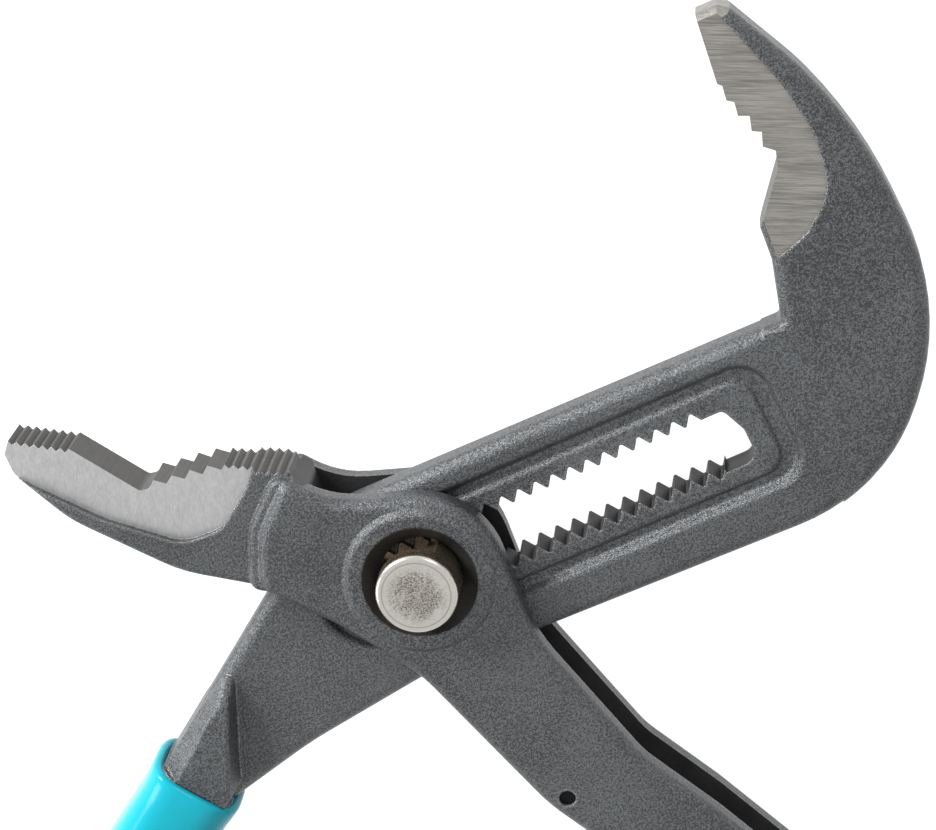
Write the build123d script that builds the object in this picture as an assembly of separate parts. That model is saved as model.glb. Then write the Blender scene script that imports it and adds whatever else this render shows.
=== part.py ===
from build123d import *
import math
import os

os.makedirs("parts", exist_ok=True)

# Adjustable box-joint pliers lying on their back with the handles open
# Z is the axis of the hinge bolt, and X runs along the slot towards the hooked jaw

# Thicknesses of the joint, across the pliers
window_gap = 6.1
cheek_thick = 3.35
boss_rise = 0.6
plate_clearance = 0.1
body_thick = window_gap + 2 * cheek_thick
plate_thick = window_gap - 2 * plate_clearance
mid_z = boss_rise + body_thick / 2
front_z = mid_z + body_thick / 2
boss_front_z = 2 * mid_z

# Room that a cut runs past the faces that it opens, and how much of an edge its two corners may take
overrun = 3.0
corner_room_share = 0.995
edge_seek = 0.01

# Slotted leg: hook and jaw
# Corners are shares of reach and rise, with the corner's radius as a share of reach
hook_reach = 74.5
jaw_rise = 51.0
hook_thick = 6.9
jaw_face_thick = 6.3
plate_round = 1.8
hook_back_shares = [
    (0.997, 0.080, 0.430),
    (0.991, 0.573, 0.80),
    (0.9415, 0.780, 0.50),
    (0.8819, 0.9665, 0.014),
]
hook_tip_shares = [(0.8665, 0.9827, 0), (0.8094, 0.9860, 0)]
hook_throat_share = (0.7705, 0.3667, 0.05)
hook_heel_share = 0.777
hook_heel_radius_share = 0.3356
inner_corner_share = 0.7409
hook_ramp_share = 0.705
hook_bite_shares = [
    (0.7000, 1.041, 0),
    (0.8349, 1.041, 0),
    (0.8148, 0.8157, 0),
    (0.8208, 0.8059, 0),
    (0.8168, 0.7706, 0),
    (0.8270, 0.7588, 0),
    (0.8228, 0.7255, 0),
    (0.8396, 0.7137, 0),
    (0.8322, 0.6784, 0),
    (0.8463, 0.6667, 0),
    (0.8376, 0.6333, 0),
    (0.8537, 0.6118, 0.002),
    (0.8445, 0.5706, 0.010),
    (0.7755, 0.4490, 0),
    (0.7705, 0.3667, 0),
    (0.7000, 0.3667, 0),
]
machined_hook_shares = [
    (0.700, 0.3627, 0),
    (0.7651, 0.3627, 0.02),
    (0.8389, 0.3941, 0.06),
    (0.9060, 0.4667, 0.10),
    (0.9228, 0.6078, 0.20),
    (0.9074, 0.7549, 0.20),
    (0.8617, 0.9765, 0.02),
    (0.8564, 1.0500, 0),
    (0.700, 1.0500, 0),
]

# Slotted leg: shank, and the slot with its two rows of teeth and the groove round it
shank_rise = 12.15
shank_taper = 1.0
shank_drop = 13.75
heel_drop = 15.0
inner_corner_x = hook_reach * inner_corner_share
inner_corner_radius = 0.8
hook_ramp_length = 4.0
tooth_pitch = 2.4
tooth_offset = 0.3
tooth_flat = 0.3
slot_tip_half = 3.4
slot_root_half = 4.7
slot_end_wall = 10.0
slot_end = inner_corner_x - slot_end_wall
slot_end_low = 4.2
slot_end_high = 3.5
slot_end_radius = 1.8
slot_slant_x = 1.4
slot_slant_y = 3.3
slot_back_room = 1.3
rack_back_teeth = 3
rack_end_room = 3.9
rack_jaw_teeth = int((slot_end - rack_end_room) / tooth_pitch)
web_thick = 4.8
groove_depth = 1.1
groove_inner_half = 6.4
groove_outer_half = 8.7
groove_inner_run = 2.8
groove_outer_run = 5.6
groove_inner_corner = 2.8
groove_outer_corner = 4.6
groove_wall_deg = 35.0
groove_round = 0.8
groove_foot_round = 0.4

# Slotted leg: plate below the joint, and the tang that thickens from it
plate_bend_x = 9.7
plate_bend_radius = 10.0
lower_bend_x = 6.0
lower_bend_radius = 24.0
plate_waist_x = 25.0
plate_waist_drop = 16.3
plate_waist_radius = 60.0
left_handle_deg = 213.5
left_handle_offset = 10.3
left_tang_width = 10.6
root_outer_half = 5.0
root_inner_half = 4.55
left_tang_thick = 12.0
left_nose_start = 24.4
left_nose_length = 14.8
left_nose_radius = 1.0
nose_offset = 3.6
nose_lean = 0.8
nose_run = 9.0
wall_lean = 2.2
nose_round = 0.6
facet_across = 1.7
facet_spread = 0.6
facet_down = 2.8

# Box leg: jaw and neck
# Corners are shares of reach and rise, with the corner's radius as a share of reach
box_jaw_reach = 42.0
box_jaw_rise = 38.2
box_jaw_thick = 8.4
box_jaw_round = 1.0
jaw_belly_shares = [(0.4857, 0.191, 0), (0.6786, 0.343, 0.45), (0.9095, 0.665, 0.40), (0.9976, 0.890, 0.05)]
jaw_nose_shares = [(0.9929, 0.963, 0), (0.9286, 1.037, 0)]
jaw_blank_top_shares = [(0.3964, 0.690, 0), (0.2190, 0.560, 0)]
jaw_tip_share = (0.9607, 1.0)
jaw_fine_end_share = (0.8012, 0.886)
jaw_step_shares = [
    (0.6690, 0.6545, 0.020),
    (0.6405, 0.6492, 0.020),
    (0.6143, 0.6702, 0),
    (0.5833, 0.6401, 0),
    (0.5548, 0.6584, 0),
    (0.5238, 0.6291, 0),
    (0.4964, 0.6505, 0),
    (0.4667, 0.6183, 0),
    (0.4405, 0.6393, 0),
    (0.4071, 0.6060, 0),
    (0.3905, 0.6178, 0),
]
jaw_back_share = (0.2190, 0.512)
fine_teeth = 7
back_teeth = 7
fine_tooth_depth = 0.5
machined_box_shares = [
    (1.050, 0.960, 0),
    (0.962, 0.829, 0.08),
    (0.8095, 0.618, 0.45),
    (0.6262, 0.432, 0.12),
    (0.4929, 0.422, 0.10),
    (0.3619, 0.516, 0.10),
    (0.3143, 0.571, 0.03),
    (0.2950, 1.100, 0),
    (1.050, 1.100, 0),
]

# Box leg: cheeks round the bolt, and the handle
eye_radius = 11.2
boss_radius = 9.2
boss_spread = 0.95
boss_skirt = 0.8
neck_reach = 20.4
neck_rise = 20.6
neck_shares = [(0.485, 0.951, 0.08), (0.794, 0.694, 0.25), (0.946, 0.403, 0.12), (0.936, 0.335, 0.08)]
collar_thick = 10.9
collar_round = 0.8
collar_shares = [(0.510, 1.0, 0.08), (0.833, 0.738, 0.25), (1.010, 0.415, 0.12), (1.0, 0.350, 0.08)]
collar_root_shares = [(0.686, 0.146, 0), (0.417, 0.752, 0)]
eye_corner_share = (1.063, 0.679)
neck_dip_share = (0.294, 0.684, 0.62)
belly_shares = [(0.618, -0.078, 0.88), (0.308, -0.583, 1.0)]
back_dip_share = (0.477, -0.662, 1.0)
cheek_round = 1.6
boss_round = 0.8
right_handle_deg = -63.0
right_handle_offset = 8.7
handle_width = 12.6
inner_bend_at = 32.1
pin_bulge = 0.6
pin_bulge_end = 38.5
outer_bend_at = 37.7
outer_taper_at = 50.0
handle_taper = 1.0
handle_bend_radius = 26.0
window_rise = 12.3
window_wall_shares = [(0.420, 0.597, 0.10), (0.385, 0.800, 0.10), (0.470, 1.30, 0)]
channel_end = 62.0

# Bores in the box leg
bolt_clearance = 0.08
countersink_radius = 7.5
countersink_depth = 2.4
countersink_round = 0.5
rear_bore_radius = 7.1
ring_groove_depth = 0.55
stop_pin_radius = 1.1
stop_pin_recess = 0.5
stop_pin_x = 3.6
stop_pin_y = -35.5

# Hinge bolt with its push button
button_radius = 5.25
button_proud = 4.3
button_side = 2.9
button_dome_radius = 40.0
button_rim_round = 0.6
button_groove_width = 0.35
button_groove_depth = 0.25
button_groove_drop = 1.5
tooth_block_half = 5.0
tooth_block_thick = 2.6
tooth_clearance = 0.12
flat_clearance = 0.1
shoulder_clearance = 0.05

# Spring, seat and snap ring behind the bolt
spring_wire_radius = 0.3
spring_mean_radius = 1.9
spring_turns = 8
spring_clearance = 0.15
spring_roof = 2.6
seat_thick = 1.0
seat_clearance = 0.05
seat_spigot_height = 1.2
ring_depth = 0.25
ring_thick = 0.5
ring_inner_radius = 5.9
ring_gap_deg = 24.0
ring_clearance = 0.05

# Handles and grips
handle_length = 192.0
tang_end_room = 6.0
tang_fit = 0.2
tang_thick = 11.6
tang_corner_share = 0.21
tang_shares = [(0.0, 1.0, 1.0), (0.04, 1.0, 1.0), (0.16, 0.84, 0.88), (0.50, 0.80, 0.84), (1.0, 0.68, 0.70)]
shoulder_room = 2.0
handle_straight = 66.0
handle_turn_deg = 11.0
left_grip_start = 42.8
right_grip_start = 70.0
right_tang_width = 12.0
grip_wall = 1.4
grip_thick = 13.6
grip_clearance = 0.15
grip_corner_share = 0.40
grip_shares = [
    (0.0, 0.925, 0.965),
    (0.010, 0.955, 1.0),
    (0.030, 0.950, 0.98),
    (0.12, 1.0, 1.0),
    (0.30, 0.96, 0.97),
    (0.54, 1.04, 1.02),
    (0.76, 0.98, 0.97),
    (0.91, 1.07, 1.02),
    (1.0, 1.03, 1.0),
]
grip_end_share = 0.075
grip_end_flat_share = 0.35
sections_along = 30


def sized(shares, width, height):
    """Corners in real size from shares: x of the width, y of the height and radius of the width."""
    return [(x * width, y * height, radius * abs(width)) for x, y, radius in shares]


def fitted_radii(corners):
    """The corners' radii, cut back where two of them would meet along the edge between them."""
    radii = [radius for x, y, radius in corners]
    points = [(x, y) for x, y, radius in corners]
    after = points[1:] + points[:1]
    headings = [math.atan2(end[1] - start[1], end[0] - start[0]) for start, end in zip(points, after)]
    turns = [math.remainder(out - headings[index - 1], math.tau) for index, out in enumerate(headings)]
    spreads = [math.tan(abs(turn) / 2) for turn in turns]
    for index, start in enumerate(points):
        following = (index + 1) % len(points)
        taken = radii[index] * spreads[index] + radii[following] * spreads[following]
        room = math.dist(start, points[following]) * corner_room_share
        if taken > room:
            radii[index] *= room / taken
            radii[following] *= room / taken
    return radii


def outline(corners):
    """A closed face through corners given as x, y and corner radius."""
    points = [(x, y) for x, y, radius in corners]
    return make_face(FilletPolyline(*points, radius=fitted_radii(corners), close=True))


def slab(face, low, high):
    """The face as a plate between two heights."""
    return extrude(Pos(0, 0, low) * face, high - low)


def centred_slab(face, thick):
    """The face as a plate of the given thickness on the middle plane."""
    return slab(face, mid_z - thick / 2, mid_z + thick / 2)


def rounded(solid, radius):
    """A plate with the edges of its two flat faces rounded."""
    for end in (0, -1):
        face = solid.faces().sort_by(Axis.Z)[end]
        solid = fillet(face.edges(), radius)
    return solid


def level_edges(solid, height):
    """The edges that lie at one height, each with its middle."""
    flat = solid.edges().filter_by_position(Axis.Z, height - edge_seek, height + edge_seek)
    return [(edge, edge @ 0.5) for edge in flat]


def ring_edges(solid, height, inner, outer):
    """The edges at one height with their middles between two distances from the bolt's axis."""
    found = level_edges(solid, height)
    return ShapeList([edge for edge, at in found if inner < math.hypot(at.X, at.Y) < outer])


def both_faces(face, thick, reach):
    """Two slabs that cover everything outside a middle thickness."""
    return centred_slab(face, reach) - centred_slab(face, thick)


def zigzag(start, end, count, depth):
    """Corners of equal teeth from start to end, cut into the side on the left hand."""
    run_x = (end[0] - start[0]) / count
    run_y = (end[1] - start[1]) / count
    step = math.hypot(run_x, run_y)
    corners = []
    for index in range(count):
        x = start[0] + index * run_x
        y = start[1] + index * run_y
        corners.append((x, y, 0))
        root_x = x + run_x / 2 - run_y / step * depth
        root_y = y + run_y / 2 + run_x / step * depth
        corners.append((root_x, root_y, 0))
    return corners


def handle_axis(angle_deg, offset, side, distance):
    """Point and direction on a handle's centre line, straight at first and then a long arc."""
    angle = math.radians(angle_deg)
    along = (math.cos(angle), math.sin(angle))
    inward = (side * along[1], -side * along[0])
    straight = min(distance, handle_straight)
    x = inward[0] * offset + along[0] * straight
    y = inward[1] * offset + along[1] * straight
    if distance <= handle_straight:
        return x, y, angle_deg
    radius = (handle_length - handle_straight) / math.radians(handle_turn_deg)
    turn = (distance - handle_straight) / radius
    forward = radius * math.sin(turn)
    sideways = radius * (1 - math.cos(turn))
    x += forward * along[0] + sideways * inward[0]
    y += forward * along[1] + sideways * inward[1]
    return x, y, angle_deg - side * math.degrees(turn)


def left_axis(distance):
    """Centre line of the slotted leg's handle."""
    return handle_axis(left_handle_deg, -left_handle_offset, -1, distance)


def right_axis(distance):
    """Centre line of the box leg's handle."""
    return handle_axis(right_handle_deg, right_handle_offset, 1, distance)


def beside(axis, distance, offset):
    """A point beside a centre line, on the left hand of its direction for a positive offset."""
    x, y, angle_deg = axis(distance)
    angle = math.radians(angle_deg)
    return x - math.sin(angle) * offset, y + math.cos(angle) * offset


def station(axis, distance, width, thick, corner):
    """A rounded rectangle square to a handle's centre line."""
    x, y, angle_deg = axis(distance)
    angle = math.radians(angle_deg)
    across = (-math.sin(angle), math.cos(angle), 0)
    along = (math.cos(angle), math.sin(angle), 0)
    plane = Plane(origin=(x, y, mid_z), x_dir=across, z_dir=along)
    return plane * RectangleRounded(width, thick, corner)


def eased(shares, at):
    """Width and thickness shares at a place, eased from one entry of the table to the next."""
    index = 0
    while index < len(shares) - 2 and at > shares[index + 1][0]:
        index += 1
    before, after = shares[index], shares[index + 1]
    share = (at - before[0]) / (after[0] - before[0])
    share = share * share * (3 - 2 * share)
    return tuple(low + (high - low) * share for low, high in zip(before[1:], after[1:]))


def tang(axis, mouth, tang_width, grown):
    """The tapered bar from just before a grip's mouth to near its end, grown on every side."""
    start = mouth - overrun
    length = handle_length - tang_end_room + grown - start
    sections = []
    for index in range(sections_along + 1):
        at = index / sections_along
        wide, deep = eased(tang_shares, at)
        width = (tang_width - tang_fit) * wide + 2 * grown
        thick = tang_thick * deep + 2 * grown
        sections.append(station(axis, start + at * length, width, thick, thick * tang_corner_share))
    return loft(sections, ruled=True)


def grip(axis, mouth, tang_width):
    """A dipped sleeve with a rolled mouth, a hand swell and a closed, rounded end."""
    length = handle_length - mouth
    places = [place[0] for place in grip_shares[:3]]
    rest = 1 - grip_end_share - places[-1]
    places += [places[-1] + rest * (index + 1) / sections_along for index in range(sections_along)]
    places += [1 - grip_end_share * (1 - math.sin(math.radians(15 * index))) for index in range(1, 7)]
    sections = []
    for at in places:
        wide, deep = eased(grip_shares, at)
        turn = max(0, (at - 1 + grip_end_share) / grip_end_share)
        round_off = math.sqrt(1 - turn**2 * (1 - grip_end_flat_share**2))
        thick = grip_thick * deep * round_off
        width = (tang_width + 2 * grip_wall) * wide * round_off
        sections.append(station(axis, mouth + at * length, width, thick, thick * grip_corner_share))
    return loft(sections, ruled=True) - tang(axis, mouth, tang_width, grip_clearance)


def rack_line(side, inset):
    """One row of slot teeth from the back end to the jaw end, drawn in by an inset."""
    tip = side * (slot_tip_half - inset)
    root = side * (slot_root_half - inset)
    points = []
    for index in range(-rack_back_teeth, rack_jaw_teeth + 1):
        at = tooth_offset + index * tooth_pitch
        points.append((at - tooth_flat / 2, tip))
        points.append((at + tooth_flat / 2, tip))
        points.append((at + tooth_pitch / 2 - tooth_flat / 2, root))
        points.append((at + tooth_pitch / 2 + tooth_flat / 2, root))
    return points


def rack_face(inset):
    """The toothed strip between the two rows."""
    upper = rack_line(1, inset)
    lower = rack_line(-1, inset)
    lower.reverse()
    return make_face(Polyline(*upper, *lower, close=True))


def slot_face():
    """The slot: a toothed strip, and a plain rounded end towards the jaw."""
    back = -tooth_block_half - slot_back_room
    last_tip = tooth_offset + rack_jaw_teeth * tooth_pitch
    middle = (back + last_tip) / 2
    window = Pos(middle, 0) * Rectangle(last_tip - back, 2 * slot_root_half)
    start = last_tip - tooth_flat
    corners = [(start, slot_end_high, 0), (start, -slot_end_low, 0)]
    corners.append((slot_end, -slot_end_low, slot_end_radius))
    corners.append((slot_end, slot_end_high - slot_slant_y, slot_end_radius))
    corners.append((slot_end - slot_slant_x, slot_end_high, slot_end_radius / 2))
    return (rack_face(0) & window) + outline(corners)


def race_face(half, run, corner):
    """A ring's outline round the slot, turned at its back end and run past its jaw end."""
    back = -tooth_block_half - slot_back_room - half
    front = slot_end + run
    turn = half - plate_clearance
    return outline([(front, half, corner), (front, -half, corner), (back, -half, turn), (back, half, turn)])


def race_edges(solid, height):
    """The edges at one height that run round the slot, out to the groove's outer lip."""
    back = -tooth_block_half - slot_back_room - groove_outer_half - edge_seek
    front = slot_end + groove_outer_run + edge_seek
    side = groove_outer_half + edge_seek
    found = level_edges(solid, height)
    return ShapeList([edge for edge, at in found if abs(at.Y) < side and back < at.X < front])


def race_groove(direction):
    """The sunk groove round the slot on one face, with its lower web inside."""
    face_z = mid_z + direction * plate_thick / 2
    web_z = mid_z + direction * web_thick / 2
    floor_z = face_z - direction * groove_depth
    slope = math.tan(math.radians(groove_wall_deg))
    sunk, grown = groove_depth * slope, overrun * slope
    trench = race_face(groove_outer_half - sunk, groove_outer_run - sunk, groove_outer_corner - sunk)
    top = race_face(groove_outer_half + grown, groove_outer_run + grown, groove_outer_corner + grown)
    cut = loft([Pos(0, 0, floor_z) * trench, Pos(0, 0, face_z + direction * overrun) * top])
    spread = abs(web_z - floor_z) * slope
    foot = race_face(groove_inner_half + spread, groove_inner_run + spread, groove_inner_corner + spread)
    head = race_face(groove_inner_half, groove_inner_run, groove_inner_corner)
    base = Pos(0, 0, mid_z) * foot
    web = loft([Pos(0, 0, floor_z) * foot, Pos(0, 0, web_z) * head])
    return cut, web + extrude(base, floor_z - mid_z)


def plate_corners():
    """Corners of the slotted leg as one flat outline."""
    heel = [(hook_reach * hook_heel_share, -heel_drop, hook_reach * hook_heel_radius_share)]
    hook = sized(hook_back_shares + hook_tip_shares + [hook_throat_share], hook_reach, jaw_rise)
    inner = [(inner_corner_x, shank_rise - shank_taper, inner_corner_radius)]
    inner.append((-plate_bend_x, shank_rise, plate_bend_radius))
    end = left_grip_start + shoulder_room
    outer_x, outer_y = beside(left_axis, end, -root_outer_half)
    inner_x, inner_y = beside(left_axis, end, root_inner_half)
    lower = [(-plate_waist_x, -plate_waist_drop, plate_waist_radius)]
    lower.append((-lower_bend_x, -shank_drop, lower_bend_radius))
    return heel + hook + inner + [(outer_x, outer_y, 0), (inner_x, inner_y, 0)] + lower


def root_face(places):
    """The tang root's outline through its facet's two ends, its wall's end and its nose."""
    beyond = left_grip_start + shoulder_room
    first, last, nose_end, tip = places
    corners = [(*first, 0), (beyond, last, 0), (beyond, root_inner_half, 0), (nose_end, root_inner_half, 0)]
    corners.append((*tip, left_nose_radius))
    return outline([(*beside(left_axis, distance, offset), radius) for distance, offset, radius in corners])


def tang_root():
    """The thicker root of the tang, which steps up from the plate on a slanted, rounded nose."""
    side = left_nose_start + nose_run
    wall_end = left_nose_start + left_nose_length
    edge = facet_across - root_outer_half
    nose = (left_nose_start, -nose_offset - nose_lean)
    high_nose = (left_nose_start + wall_lean, -nose_offset)
    low = root_face([(side, -root_outer_half), -root_outer_half, wall_end, nose])
    high = root_face([(side, edge), edge + facet_spread, wall_end + wall_lean, high_nose])
    flank = left_tang_thick / 2 - facet_down
    front = loft([Pos(0, 0, mid_z + flank) * low, Pos(0, 0, mid_z + left_tang_thick / 2) * high])
    back = loft([Pos(0, 0, mid_z - left_tang_thick / 2) * high, Pos(0, 0, mid_z - flank) * low])
    return front + back + centred_slab(low, 2 * flank)


def inside_grip():
    """A face that covers the tang from just before the grip's mouth onwards."""
    end, far, wide = left_grip_start - grip_clearance, handle_length, left_tang_width
    places = [(end, -wide), (far, -wide), (far, wide), (end, wide)]
    return outline([(*beside(left_axis, distance, offset), 0) for distance, offset in places])


def hook_wedge():
    """The space that holds the thicker hook, which ramps up from the plate's two faces."""
    ramp_start = hook_reach * hook_ramp_share
    ramp_end = ramp_start + hook_ramp_length
    corners = []
    for side in (1, -1):
        thin = mid_z + side * plate_thick / 2
        thick = mid_z + side * hook_thick / 2
        points = [(ramp_start, thin), (ramp_end, thick), (2 * hook_reach, thick)]
        corners += points[::side]
    return extrude(Plane.XZ * make_face(Polyline(*corners, close=True)), 2 * hook_reach, both=True)


def slotted_leg():
    """Hooked jaw, slotted shank, flat plate and tang in one forging."""
    face = outline(plate_corners())
    body = rounded(centred_slab(face, plate_thick), plate_round)
    hook = rounded(centred_slab(face, hook_thick), plate_round) & hook_wedge()
    body = body + hook + rounded(tang_root(), nose_round) - centred_slab(inside_grip(), body_thick)
    bar = tang(left_axis, left_grip_start, left_tang_width, 0)
    body = body + (bar & centred_slab(inside_grip(), body_thick))
    for direction in (1, -1):
        cut, web = race_groove(direction)
        body = body - cut + web
        face_z = mid_z + direction * plate_thick / 2
        body = fillet(race_edges(body, face_z), groove_round)
        body = fillet(race_edges(body, mid_z + direction * web_thick / 2), groove_round)
        body = fillet(race_edges(body, face_z - direction * groove_depth), groove_foot_round)
    bite = outline(sized(hook_bite_shares, hook_reach, jaw_rise))
    machined = outline(sized(machined_hook_shares, hook_reach, jaw_rise))
    body = body - centred_slab(bite, body_thick) - both_faces(machined, jaw_face_thick, body_thick)
    return body - centred_slab(slot_face(), body_thick)


def jaw_corners():
    """Corners of the box leg's jaw and neck, with its toothed side still straight."""
    belly = sized(jaw_belly_shares, -box_jaw_reach, box_jaw_rise)
    rim = sized(jaw_nose_shares + jaw_blank_top_shares, -box_jaw_reach, box_jaw_rise)
    return belly + rim + [(rim[-1][0], window_rise, 0)]


def jaw_bite():
    """What the teeth, the pit and the steps take away along the jaw's upper side."""
    nose_x, nose_y = jaw_tip_share
    fine_x, fine_y = jaw_fine_end_share
    back_x, back_y = jaw_back_share
    step_x, step_y, _ = jaw_step_shares[-1]
    nose = (-nose_x * box_jaw_reach, nose_y * box_jaw_rise)
    fine_end = (-fine_x * box_jaw_reach, fine_y * box_jaw_rise)
    step_end = (-step_x * box_jaw_reach, step_y * box_jaw_rise)
    back = (-back_x * box_jaw_reach, back_y * box_jaw_rise)
    corners = zigzag(fine_end, nose, fine_teeth, fine_tooth_depth)
    corners += [(nose[0], nose[1], 0), (nose[0], 2 * box_jaw_rise, 0), (back[0], 2 * box_jaw_rise, 0)]
    corners += zigzag(back, step_end, back_teeth, fine_tooth_depth)
    steps = sized(jaw_step_shares, -box_jaw_reach, box_jaw_rise)
    steps.reverse()
    return outline(corners + steps)


def cheek_corners():
    """Corners of the two cheeks with their neck and handle, as one flat outline."""
    neck = sized(neck_shares, -neck_reach, neck_rise)
    eye_x, eye_y = eye_corner_share
    belly = sized(belly_shares, -neck_reach, neck_rise)
    dip = sized([neck_dip_share], -neck_reach, neck_rise)
    back_x, back_y, back_radius = back_dip_share
    back = (back_x * neck_reach, back_y * neck_rise, back_radius * neck_reach)
    corners = neck + belly
    far = right_grip_start - shoulder_room
    half = handle_width / 2
    for distance, offset, radius in (
        (inner_bend_at, -half - pin_bulge, handle_bend_radius),
        (pin_bulge_end, -half - pin_bulge, handle_bend_radius),
        (pin_bulge_end + half, -half, handle_bend_radius),
        (far, -half, 0),
        (far, half - handle_taper, 0),
        (outer_taper_at, half, handle_bend_radius),
        (outer_bend_at, half, handle_bend_radius / 2),
    ):
        corners.append((*beside(right_axis, distance, offset), radius))
    corners.append(back)
    corners.append((eye_x * eye_radius, eye_y * eye_radius, eye_radius))
    return corners + dip


def window_face():
    """The window and the channel down the handle, open along both edges of the handle."""
    far = handle_length
    wall = sized(window_wall_shares, -neck_reach, neck_rise)
    low_x, low_y = beside(right_axis, channel_end, -handle_width)
    high_x, high_y = beside(right_axis, channel_end, handle_width)
    corners = [(-far, window_rise, 0), (-far, low_y, 0), (low_x, low_y, 0), (high_x, high_y, 0)]
    corners += [(far, high_y, 0), (far, wall[-1][1], 0)]
    wall.reverse()
    return outline(corners + wall)


def boss():
    """The ring round the bore, raised over both cheeks with a sloping skirt."""
    top, foot = Circle(boss_radius), Circle(boss_radius + boss_spread)
    front = loft([Pos(0, 0, boss_front_z - boss_skirt) * foot, Pos(0, 0, boss_front_z) * top])
    back = loft([top, Pos(0, 0, boss_skirt) * foot])
    return rounded(front + back + slab(foot, boss_skirt, boss_front_z - boss_skirt), boss_round)


def box_leg():
    """Jaw, neck, two cheeks round the bolt and handle in one forging."""
    jaw = rounded(centred_slab(outline(jaw_corners()), box_jaw_thick), box_jaw_round)
    jaw = jaw - centred_slab(jaw_bite(), body_thick)
    cheeks = rounded(centred_slab(outline(cheek_corners()), body_thick), cheek_round)
    collar = outline(sized(collar_shares + collar_root_shares, -neck_reach, neck_rise))
    cheeks = cheeks + rounded(centred_slab(collar, collar_thick), collar_round)
    machined = outline(sized(machined_box_shares, -box_jaw_reach, box_jaw_rise))
    body = jaw - both_faces(machined, jaw_face_thick, body_thick) + cheeks
    body = body + boss()
    body = body + tang(right_axis, right_grip_start, right_tang_width, 0)
    body = body - centred_slab(window_face(), window_gap)
    bolt_bore_radius = button_radius + bolt_clearance
    body = body - slab(Circle(bolt_bore_radius), mid_z, boss_front_z + overrun)
    sink_depth = boss_front_z - countersink_depth
    sink_foot = Pos(0, 0, sink_depth) * Circle(bolt_bore_radius)
    sink_mouth = Pos(0, 0, boss_front_z) * Circle(countersink_radius)
    body = body - loft([sink_foot, sink_mouth])
    mouth = ring_edges(body, boss_front_z, countersink_radius - countersink_round, boss_radius - boss_round)
    body = fillet(mouth, countersink_round)
    body = body - slab(Circle(rear_bore_radius), -overrun, mid_z)
    body = body - slab(Circle(rear_bore_radius + ring_groove_depth), ring_depth, ring_depth + ring_thick)
    pin_hole = Pos(stop_pin_x, stop_pin_y) * Circle(stop_pin_radius)
    return body - slab(pin_hole, -overrun, boss_front_z)


def hinge_bolt():
    """Push button, neck with two flats and block of teeth in one piece."""
    block_top = mid_z + window_gap / 2 - shoulder_clearance
    button_top = boss_front_z + button_proud
    button_foot = button_top - button_side
    neck_half = slot_tip_half - flat_clearance
    head = slab(Circle(button_radius), button_foot, button_top)
    dome_drop = button_dome_radius - math.sqrt(button_dome_radius**2 - button_radius**2)
    head = head & Pos(0, 0, button_top - button_dome_radius) * Sphere(button_dome_radius)
    head = fillet(ring_edges(head, button_top - dome_drop, 0, 2 * button_radius), button_rim_round)
    groove_z = button_top - button_groove_drop
    groove = slab(Circle(button_radius + overrun), groove_z - button_groove_width, groove_z)
    groove = groove - slab(Circle(button_radius - button_groove_depth), 0, button_top)
    neck_face = Circle(button_radius) & Rectangle(2 * button_radius, 2 * neck_half)
    block_face = rack_face(tooth_clearance) & Rectangle(2 * tooth_block_half, 2 * slot_root_half)
    neck = slab(neck_face, block_top, button_foot)
    block = slab(block_face, block_top - tooth_block_thick, block_top)
    body = head - groove + neck + block
    bore_radius = spring_mean_radius + spring_wire_radius + spring_clearance
    return body - slab(Circle(bore_radius), 0, button_top - spring_roof)


def stop_pin():
    """Cross pin through both cheeks, sunk a little at each end."""
    face = Pos(stop_pin_x, stop_pin_y) * Circle(stop_pin_radius)
    return slab(face, boss_rise + stop_pin_recess, front_z - stop_pin_recess)


def spring_seat():
    """Disc with a spigot that closes the rear bore and carries the spring."""
    low = ring_depth + ring_thick + ring_clearance
    spigot_radius = spring_mean_radius - spring_wire_radius - spring_clearance
    disc = slab(Circle(rear_bore_radius - seat_clearance), low, low + seat_thick)
    return disc + slab(Circle(spigot_radius), low, low + seat_thick + seat_spigot_height)


def retaining_ring():
    """Open snap ring in the groove of the rear bore."""
    outer = rear_bore_radius + ring_groove_depth - ring_clearance
    face = Circle(outer) - Circle(ring_inner_radius)
    wedge_reach = 2 * outer
    half = wedge_reach * math.tan(math.radians(ring_gap_deg / 2))
    face = face - make_face(Polyline((0, 0), (wedge_reach, -half), (wedge_reach, half), close=True))
    low = ring_depth + ring_clearance / 2
    return slab(face, low, low + ring_thick - ring_clearance)


def helix_point(turn, low, pitch):
    """Point and unit direction on the spring's wire centre line."""
    angle = math.tau * turn
    around = math.tau * spring_mean_radius
    length = math.hypot(around, pitch)
    east, north = math.cos(angle), math.sin(angle)
    point = Vector(spring_mean_radius * east, spring_mean_radius * north, low + pitch * turn)
    slope = Vector(-north * around / length, east * around / length, pitch / length)
    return point, slope


def biarc(start, start_slope, end, end_slope):
    """Two tangent arcs from start to end."""
    chord = end - start
    total = start_slope + end_slope
    spare = 2 * (1 - start_slope.dot(end_slope))
    reach = (math.sqrt(chord.dot(total) ** 2 + spare * chord.dot(chord)) - chord.dot(total)) / spare
    middle = (start + end + (start_slope - end_slope) * reach) / 2
    middle_slope = (end - end_slope * reach) - (start + start_slope * reach)
    first = Edge.make_tangent_arc(start, start_slope, middle)
    second = Edge.make_tangent_arc(middle, middle_slope.normalized(), end)
    return [first, second]


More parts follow.
